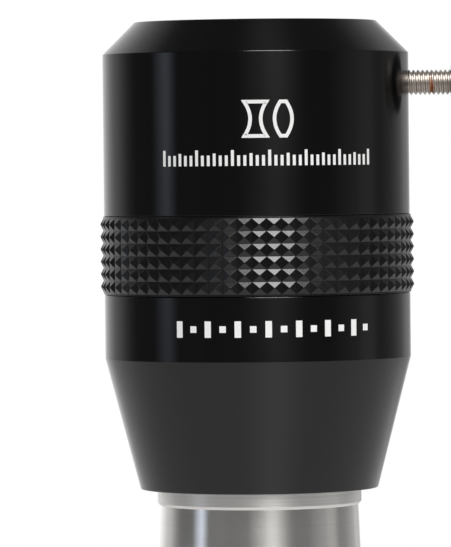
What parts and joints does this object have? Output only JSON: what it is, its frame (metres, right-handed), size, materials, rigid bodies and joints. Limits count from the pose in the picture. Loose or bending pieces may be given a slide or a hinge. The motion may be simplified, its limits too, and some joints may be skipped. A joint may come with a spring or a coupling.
{
  "type": "barlow lens",
  "caption": "Telecentric barlow lens: black body with a knurled grip band, bright nosepiece, eyepiece socket with a compression ring and a side thumbscrew.",
  "frame": {"origin": "centre of the shoulder that meets the focuser, on the optical axis", "axes": "+Z along the optical axis towards the eyepiece; +X along the thumbscrew, outwards"},
  "size_m": [0.0629, 0.0488, 0.1206],
  "materials": {
    "black_anodised": "gloss black hard anodising",
    "knurled_anodised": "satin black anodising over a diamond knurl",
    "matt_black": "matt black anti-reflection finish",
    "turned_aluminium": "bright turned finish",
    "stainless_steel": "bright, fine turning lines",
    "brass": "satin",
    "blackened_steel": "oiled black",
    "coated_crown_glass": "polished, green anti-reflection coating",
    "coated_flint_glass": "polished, violet anti-reflection coating",
    "white_print": "white printed marks"
  },
  "bodies": {
    "housing": {"eyepiece_holder": "black_anodised", "eyepiece_stop_ring": "matt_black", "grip_ring": "knurled_anodised", "cell_grub_screws": "blackened_steel", "lower_housing": "black_anodised", "nosepiece_barrel": "turned_aluminium", "nosepiece_stop_ring": "matt_black", "housing_stop_ring": "matt_black", "rear_cell": "matt_black", "rear_crown_lens": "coated_crown_glass", "rear_flint_lens": "coated_flint_glass", "rear_retaining_ring": "matt_black", "front_cell": "matt_black", "front_lock_ring": "matt_black", "front_biconcave_lens": "coated_crown_glass", "front_meniscus_lens": "coated_flint_glass", "front_retaining_ring": "matt_black"},
    "thumbscrew": {"thumbscrew_stud": "stainless_steel", "thumbscrew_head": "stainless_steel"},
    "screw_pad": {"thumbscrew_pad": "brass"},
    "gripping_ring": {"compression_ring": "brass"}
  },
  "joints": [
    {"name": "thumbscrew_travel", "type": "slide", "parent": "housing", "child": "screw_pad", "axis": [-1, 0, 0], "range_m": [0, 0.0035]},
    {"name": "thumbscrew_turn", "type": "hinge", "parent": "screw_pad", "child": "thumbscrew", "pos_m": [0.02085, 0, 0.0629], "axis": [-1, 0, 0], "range_deg": [0, 1800]},
    {"name": "ring_squeeze", "type": "slide", "parent": "housing", "child": "gripping_ring", "axis": [-1, 0, 0], "range_m": [0, 0.0003]}
  ],
  "couplings": [
    {"joint": "thumbscrew_turn", "follows": "thumbscrew_travel", "rad_per_m": 8976},
    {"joint": "ring_squeeze", "follows": "thumbscrew_travel", "ratio": 0.0857}
  ]
}
